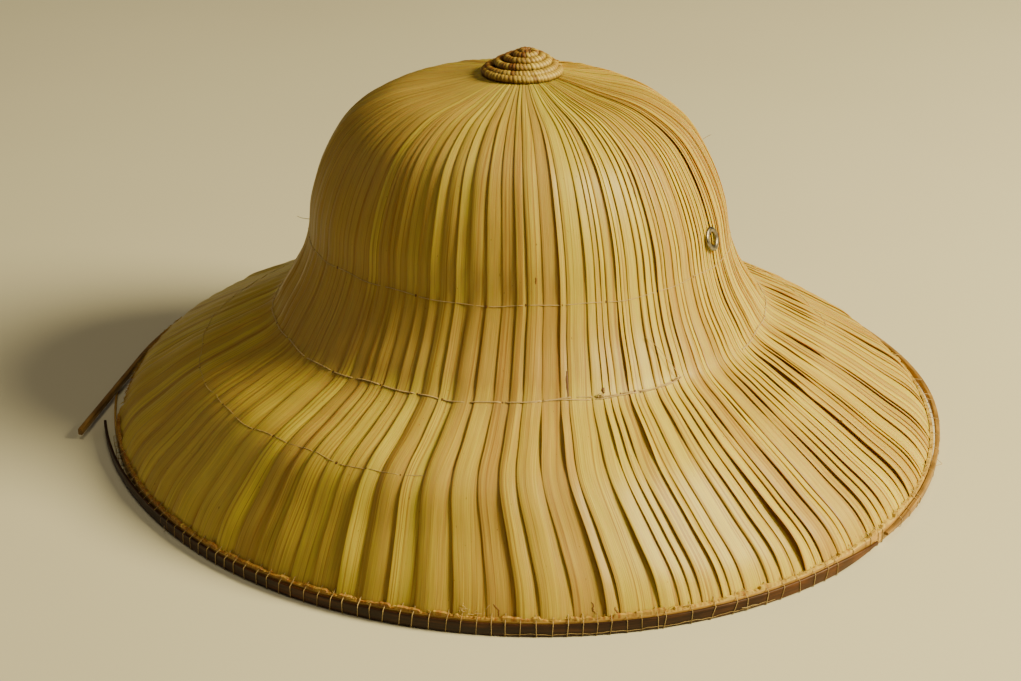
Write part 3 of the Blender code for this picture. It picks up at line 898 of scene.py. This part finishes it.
def frayed_hem():
    """The ragged orange edge where the strips are cut off just above the splints."""
    pile = Pile()
    rng = np.random.default_rng(SEED + 4)
    steps = 1500
    degrees = np.linspace(CUT_END - 1, 360 + CUT_START + 1, steps)
    height = np.zeros(steps)
    at = 0
    while at < steps:
        run = int(rng.integers(2, 9))
        height[at:at + run] = rng.uniform(-0.0003, 0.0011)
        at += run
    height += rng.uniform(0, 0.0003, steps)
    section = ((0.0004, 0.0048), (0.0016, 0.0056), (0.0014, None), (0.0001, None))
    points = np.zeros((steps, 4, 3))
    for column, (out, level) in enumerate(section):
        wobble = rng.uniform(-0.00012, 0.00012, steps) if level is None else 0.0
        top = 0.0060 + height if level is None else level
        points[:, column] = rim_place(degrees, out + wobble, top)
    leaf = np.zeros(points.shape)
    leaf[..., 0] = np.radians(degrees)[:, None] * RIM_RADIUS
    leaf[..., 1] = points[..., 2]
    tone = np.zeros(points.shape)
    tawny = np.interp(degrees, FRAY_ANGLES, FRAY_LIGHTS)
    tone[..., 0] = np.clip(tawny + rng.normal(0, 0.2, steps), 0, 1)[:, None]
    tone[..., 1] = 0.5
    pile.add(points, leaf, tone)
    for _ in range(1500):
        at = rng.uniform(CUT_END, 360 + CUT_START)
        length = rng.uniform(0.0006, 0.0018)
        lean = rng.normal(0, 0.9)
        rise = rng.uniform(-0.1, 0.9)
        foot = rim_place([at], rng.uniform(-0.0002, 0.0014), 0.0060 + rng.uniform(0, 0.0005))[0]
        turned = at + np.degrees(lean * length / RIM_RADIUS)
        tip = rim_place([turned], 0.0010 + length * (1 - abs(rise)) * 0.6, foot[2] + length * rise)[0]
        middle = (foot + tip) / 2 + np.array((0, 0, 0.15 * length))
        radius = np.array((1.0, 0.8, 0.3)) * rng.uniform(0.00007, 0.00016)
        light = np.clip(np.interp(at, FRAY_ANGLES, FRAY_LIGHTS) + rng.uniform(-0.2, 0.4), 0, 1)
        tube(pile, (foot, middle, tip), (0.3, 0.2, 1.0), radius, 4, at, (light, 0.3, 0.0))
    for _ in range(260):
        angle = radians(rng.uniform(CUT_START + 1.5, CUT_END - 1.5))
        length = rng.uniform(0.0006, 0.0028)
        shares = np.array((-0.4, 0.4, 1.0)) * length
        lean = rng.normal(0, 0.35) * shares / RIM_RADIUS
        lifts = 0.0006 + rng.normal(0, 0.35) * shares
        hair = outline.point(cut_end(angle) + shares, angle + lean, lifts)
        radius = np.array((1.0, 0.8, 0.3)) * rng.uniform(0.00008, 0.00018)
        tube(pile, hair, (0.3, 0.2, 1.0), radius, 4, angle, (rng.uniform(0.0, 0.8), 0.3, 0.0))
    return pile.build("frayed_hem", FRAY, 40)


# Loose fibres and thread ends: angle, distance along, then how far each point stands off the face and
# runs on round the hat, in millimetres
Stray = namedtuple("Stray", "name angle along radius points thread")
STRAYS = (
    Stray("crown_left", 202, CROWN_ROW - 0.001, 0.00016,
          ((0.5, 0), (2.5, 1.0), (5.0, 1.5), (7.0, 0.5)), False),
    Stray("crown_right", 33, CROWN_ROW - 0.040, 0.00012, ((0.5, 0), (2.5, 0.6), (5.0, 0.2)), False),
    Stray("rim_right", 24, HEM_ROW + 0.002, 0.00016,
          ((2.0, 0), (4.6, -1.5), (5.4, -4.0), (4.0, -7.0)), True),
    Stray("rim_side", 8, HEM_ROW + 0.002, 0.00016,
          ((3.2, 0), (4.6, 2.5), (6.6, 4.0), (4.8, 6.0), (3.6, 8.0)), True),
    Stray("rim_front", 243, HEM_ROW + 0.003, 0.00013, ((3.4, 0), (4.6, 1.0), (4.8, 3.0), (6.0, 3.5)), True),
    Stray("rim_low", 322, HEM_ROW + 0.003, 0.00015, ((3.6, 0), (4.2, 2.0), (3.7, 5.0), (4.1, 7.0)), True),
    Stray("join_end", 331, JOIN_ROW - 0.001, 0.00022, ((1.2, 0), (2.0, 1.5), (1.6, 3.5), (1.3, 6.0)), True),
)


def strays():
    pile = Pile()
    for stray in STRAYS:
        spots = np.array(stray.points) / 1000
        fine = np.linspace(0, len(spots) - 1, 5 * len(spots))
        off, on = (np.interp(fine, np.arange(len(spots)), spots[:, k]) for k in (0, 1))
        kernel = np.ones(5) / 5
        off, on = (np.convolve(np.pad(v, 2, mode="edge"), kernel, "valid") for v in (off, on))
        radius = np.interp(stray.along, outline.along, outline.radius)
        angles = radians(stray.angle) + on / radius
        path = outline.point(np.full(len(fine), stray.along), angles, off)
        thick = stray.radius * np.linspace(1.0, 0.6, len(fine))
        tube(pile, path, (0.1, 0.2, 1.0), thick, 5, stray.angle, (0.6, 0.2, 0.0 if stray.thread else 0.5))
    return pile.build("stray_ends", THREAD, 60)


# Marks on the leaf: angle, distance along, length along, half width, how dark
Mark = namedtuple("Mark", "name angle along length radius dark")
MARKS = (
    Mark("scar", 306.6, JOIN_ROW - 0.0120, 0.0105, 0.00060, 0.85),
    Mark("smudge", 314.2, JOIN_ROW - 0.0040, 0.0024, 0.00060, 0.80),
    Mark("crown_chip", 299.5, CROWN_ROW - 0.0120, 0.0028, 0.00045, 0.45),
    Mark("crown_split", 331.0, CROWN_ROW - 0.0500, 0.0110, 0.00022, 0.55),
    Mark("brim_chip", 357.5, MIDDLE_ROW + 0.0120, 0.0030, 0.00045, 0.45),
    Mark("hem_chip", 303.5, HEM_ROW - 0.0060, 0.0042, 0.00034, 0.60),
    Mark("hem_nick", 306.3, HEM_ROW - 0.0036, 0.0024, 0.00050, 0.65),
    Mark("hem_tear", 309.0, HEM_ROW - 0.0070, 0.0056, 0.00026, 0.55),
    Mark("hem_stain", 291.6, HEM_ROW - 0.0054, 0.0046, 0.00034, 0.50),
)
KNOT_ANGLE = 313.6
LOOSE_START, LOOSE_END = 326.5, 333.0
LOW_LINE_START, LOW_LINE_END = 293, 327
FUZZ_START, FUZZ_END = 287.5, 291.0


def marks():
    """Scars and chipped strip ends: thin dark slivers pressed on the face of the leaf."""
    pile = Pile()
    rng = np.random.default_rng(SEED + 7)
    for mark in MARKS:
        share = np.linspace(0, 1, 9)
        along = mark.along + mark.length * share
        angle = np.radians(mark.angle + 0.18 * np.cumsum(rng.normal(0, 0.5, 9)))
        lift = np.array([strips.top(a, np.array([t]))[0] for a, t in zip(along, angle)])
        line = outline.point(along, angle, lift + 0.00012)
        normal = outline.normal(along[4:5], angle[4:5])[0]
        radius = mark.radius * (0.25 + 0.75 * np.sin(pi * (0.1 + 0.85 * share))) * rng.uniform(0.7, 1.2, 9)
        tube(pile, line, normal, radius, 8, mark.angle, (0.1, 0.5, mark.dark), flat=0.25)
    return pile.build("leaf_marks", FRAY, 60)


def loose_threads():
    """The knot on the join, the thread that hangs off it, the line low on the dark cane and pale fuzz."""
    pile = Pile()
    rng = np.random.default_rng(SEED + 8)
    share = np.linspace(0, 1, 14)
    along = mix(mix(CROWN_ROW, JOIN_ROW, 0.45), JOIN_ROW - 0.0004, share)
    angle = np.radians(mix(LOOSE_START, LOOSE_END, share**0.8))
    lift = 0.0012 + 0.0010 * np.sin(pi * share) * (1 + 0.4 * np.sin(9 * share))
    line = outline.point(along, angle, lift)
    tube(pile, line, outline.normal(along[7:8], angle[7:8])[0], 0.00013, 6, 1.0, (0.7, 0.3, 0.0))
    turn = np.linspace(0, 2.4 * tau, 40)
    along = JOIN_ROW - 0.0006 + 0.0009 * np.sin(turn) * np.cos(0.37 * turn)
    angle = np.radians(KNOT_ANGLE + 0.5 * np.cos(turn) + 0.2 * np.sin(0.5 * turn))
    lift = 0.0012 + 0.0004 * np.sin(1.7 * turn)
    line = outline.point(along, angle, lift)
    tube(pile, line, outline.normal(along[:1], angle[:1])[0], 0.00024, 6, 2.0, (0.8, 0.3, 0.0))
    degrees = np.linspace(LOW_LINE_START, LOW_LINE_END, 120)
    height = 0.0010 + 0.00022 * np.sin(degrees * 1.3) + 0.00012 * np.sin(degrees * 4.1)
    line = rim_place(degrees, OUTER_LAYER - RIM_RADIUS + DARK_THICKNESS + 0.00012, height)
    tube(pile, line, np.array((0.0, 0.0, 1.0)), 0.00010, 5, 3.0, (0.35, 0.4, 0.0))
    for _ in range(16):
        foot = radians(rng.uniform(FUZZ_START, FUZZ_END))
        start = HEM_ROW - rng.uniform(0.0005, 0.0040)
        share = np.linspace(0, 1, 5)
        length = rng.uniform(0.0008, 0.0026)
        way = rng.uniform(0, tau)
        along = start - np.abs(length * sin(way)) * share
        angle = foot + length * cos(way) * share / RIM_RADIUS
        line = outline.point(along, angle, 0.0007 + 0.0006 * share + 0.0003 * np.sin(pi * share))
        tube(pile, line, outline.normal(along[:1], angle[:1])[0], 0.00008, 4, way, (0.9, 0.2, 0.0))
    return pile.build("loose_threads", THREAD, 60)


EYELET_HEIGHT = 0.1027
EYELET_ANGLE = -3.0
EYELET_RADIUS = 0.0052
EYELET_HOLE = 0.0028
EYELET_FLANGE = 0.0006
EYELET_LIFT = 0.0012
EYELET_TIP = 0.22


def eyelet(name, degrees):
    """A pressed metal ring, rounded over, with its barrel running into the leaf."""
    along = np.interp(-EYELET_HEIGHT, -outline.height, outline.along)
    angle = np.array([radians(degrees)])
    normal = outline.normal(np.array([along]), angle)[0]
    centre = outline.point(np.array([along]), angle, EYELET_LIFT)[0]
    normal = normal + np.array((0.0, 0.0, EYELET_TIP))
    normal /= np.linalg.norm(normal)
    side = np.cross((0.0, 0.0, 1.0), normal)
    side /= np.linalg.norm(side)
    up = np.cross(normal, side)
    turn = tau * np.arange(48) / 48
    spoke = side[None, :] * np.cos(turn)[:, None] + up[None, :] * np.sin(turn)[:, None]
    middle = (EYELET_RADIUS + EYELET_HOLE) / 2
    reach = (EYELET_RADIUS - EYELET_HOLE) / 2
    roll = np.radians(np.arange(-30, 211, 24))
    out = np.concatenate([middle + reach * np.cos(roll),
                          [EYELET_HOLE, EYELET_HOLE + 0.0003, EYELET_HOLE + 0.0003]])
    rise = np.concatenate([EYELET_FLANGE * 1.2 * np.sin(roll), [-0.0026, -0.0026, -0.0006]])
    points = centre + spoke[:, None] * out[None, :, None] + normal * rise[None, :, None]
    leaf = np.zeros(points.shape)
    leaf[..., 0] = turn[:, None] * EYELET_RADIUS
    leaf[..., 1] = rise[None, :]
    pile = Pile()
    pile.add(points, leaf, np.zeros(points.shape), ring=True)
    return pile.build(name, METAL, 50)


pieces["leaf_marks"] = marks()
pieces["loose_threads"] = loose_threads()
pieces["ring_right"] = eyelet("ring_right", EYELET_ANGLE)
pieces["ring_left"] = eyelet("ring_left", EYELET_ANGLE + 180)
pieces["rim_whipping"] = whipping()
pieces["frayed_hem"] = frayed_hem()
pieces["stray_ends"] = strays()

# Button

BUTTON_RADIUS = 0.0176
BUTTON_COIL = 0.0038
BUTTON_RISE = 0.0072
BUTTON_TURNS = 5
WRAP_LENGTH = 0.0016
WRAP_SLANT = 0.0004
BUTTON_SKEW = np.array((0.0022, 0.0011))


def button():
    """A spiral of wrapped fibre, a low cone seated on the cap of the crown."""
    coil = BUTTON_COIL / 2
    turns = BUTTON_TURNS - 0.35
    steps = 1500
    share = np.linspace(0, 1, steps)
    angle = radians(150) + tau * (turns + 0.8) * share
    inward = np.clip(share * (turns + 0.8) - 0.8, 0, None) / turns
    radius = (BUTTON_RADIUS - 0.92 * coil) * (1 - 0.97 * inward)
    along = np.interp(radius, outline.radius[:1500], outline.along[:1500])
    path = outline.point(along, angle, 0.0)
    rise = 1 - (1 - inward) ** 1.35
    path[:, 2] += coil * 0.8 + BUTTON_RISE * rise
    path[:, :2] += rise[:, None] * BUTTON_SKEW
    step = np.linalg.norm(np.diff(path, axis=0), axis=1)
    place = np.concatenate([[0.0], np.cumsum(step)])
    rng = np.random.default_rng(SEED + 5)
    side, up = across_up(path, np.array((0.0, 0.0, 1.0)))
    sides = 14
    turn = tau * np.arange(sides) / sides
    slanted = place[:, None] + WRAP_SLANT * np.sin(turn)[None, :] + 0.0004 * np.sin(place / 0.0037)[:, None]
    wrap = np.abs(np.sin(pi * slanted / WRAP_LENGTH))
    number = np.clip(np.floor(slanted / WRAP_LENGTH), 0, None).astype(int)
    bulk = rng.uniform(0.93, 1.05, number.max() + 1)[number]
    thick = coil * (0.86 + 0.16 * wrap**0.7) * bulk * (1 - 0.12 * share)[:, None]
    thick[:60] *= np.linspace(0.5, 1, 60)[:, None]
    ring = side[:, None] * np.cos(turn)[None, :, None] + up[:, None] * np.sin(turn)[None, :, None]
    points = path[:, None] + ring * thick[..., None]
    shade = np.clip(rng.normal(0.52, 0.30, number.max() + 1), 0, 1)
    leaf = np.zeros(points.shape)
    leaf[..., 0] = slanted
    leaf[..., 1] = turn[None, :] * coil
    leaf[..., 2] = number
    tone = np.zeros(points.shape)
    # Painted light and shade: wraps towards the hat's right front are painted lighter, and those on the far
    # side and near the top darker; the coil is darkened under itself and in the grooves between wraps.
    facing = (path[:, :2] - path[:, :2].mean(axis=0)) @ np.array((0.90, -0.44)) / BUTTON_RADIUS
    tone[..., 0] = np.clip(shade[number] + 0.45 * facing[:, None] - 0.25 * rise[:, None], 0, 1)
    tone[..., 1] = 0.4
    under = np.clip(0.45 - np.sin(turn), 0, 1)[None, :]
    tone[..., 2] = np.maximum(0.95 * (1 - wrap) ** 2, 0.9 * under)
    pile = Pile()
    pile.add(points, leaf, tone)
    return pile.build("button_coil", COIL, 70)


pieces["button_coil"] = button()

# Stage and camera


def stage():
    n = Nodes("floor")
    where = n.tree.nodes.new("ShaderNodeTexCoord").outputs["Object"]
    cloud = n.noise(n.scaled(where, (2.2, 2.2, 2.2)), 3.0, 0.5)
    n.set("Base Color", n.blend(n.range(cloud, 0.3, 0.7), (0.600, 0.565, 0.455), (0.650, 0.615, 0.500)))
    n.set("Roughness", 0.9)
    builder = bmesh.new()
    bmesh.ops.create_circle(builder, cap_ends=True, segments=96, radius=9.0)
    mesh = bpy.data.meshes.new("floor")
    builder.to_mesh(mesh)
    builder.free()
    mesh.materials.append(n.material)
    floor = bpy.data.objects.new("floor", mesh)
    floor.location.z = -0.0004
    bpy.context.scene.collection.objects.link(floor)
    world = bpy.data.worlds.new("studio")
    world.use_nodes = True
    world.node_tree.nodes["Background"].inputs["Color"].default_value = (1.0, 0.92, 0.80, 1.0)
    world.node_tree.nodes["Background"].inputs["Strength"].default_value = 0.04
    bpy.context.scene.world = world


Lamp = namedtuple("Lamp", "name azimuth elevation distance size power colour")
LAMPS = (
    Lamp("key", 103, 35, 1.7, 0.60, 74.0, (1.0, 0.86, 0.46)),
    Lamp("top", 26, 76, 2.0, 1.0, 9.0, (1.0, 0.87, 0.52)),
    Lamp("fill", -70, 25, 2.4, 1.4, 2.0, (1.0, 0.86, 0.90)),
)


def direction(azimuth, elevation):
    """The way from the hat to a camera or a lamp, with azimuth from the front towards +X."""
    turn, rise = radians(azimuth), radians(elevation)
    return Vector((sin(turn) * cos(rise), -cos(turn) * cos(rise), sin(rise)))


def lights():
    aim = Vector((0.0, 0.0, 0.06))
    for lamp in LAMPS:
        data = bpy.data.lights.new(lamp.name, "AREA")
        data.shape = "DISK"
        data.size = lamp.size
        data.energy = lamp.power
        data.color = lamp.colour
        made = bpy.data.objects.new(lamp.name, data)
        way = direction(lamp.azimuth, lamp.elevation)
        made.location = aim + way * lamp.distance
        made.rotation_euler = way.to_track_quat("Z", "Y").to_euler()
        bpy.context.scene.collection.objects.link(made)


def camera():
    data = bpy.data.cameras.new("camera")
    data.sensor_width = SENSOR_WIDTH
    data.lens = CAMERA_LENS
    data.clip_start = 0.05
    made = bpy.data.objects.new("camera", data)
    bpy.context.scene.collection.objects.link(made)
    made.location = CAMERA_PLACE
    made.rotation_euler = (made.location - Vector(CAMERA_AIM)).to_track_quat("Z", "Y").to_euler()
    bpy.context.scene.camera = made


stage()
lights()
camera()

for piece in pieces.values():
    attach(piece, "root")
for name, node, slot in (
    ("leaf_strips_front", "leaf_shell", "palm_leaf"),
    ("leaf_strips_right", "leaf_shell", "palm_leaf"),
    ("leaf_strips_back", "leaf_shell", "palm_leaf"),
    ("leaf_strips_left", "leaf_shell", "palm_leaf"),
    ("leaf_lining", "leaf_shell", "palm_leaf"),
    ("rim_tan", "rim_splint_tan", "tan_splint"),
    ("rim_dark", "rim_splint_dark", "dark_splint"),
    ("rim_brown", "rim_splint_brown", "brown_splint"),
    ("button_coil", "top_button", "coiled_fibre"),
    ("ring_right", "eyelet_right", "eyelet_metal"),
    ("ring_left", "eyelet_left", "eyelet_metal"),
):
    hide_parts(node)
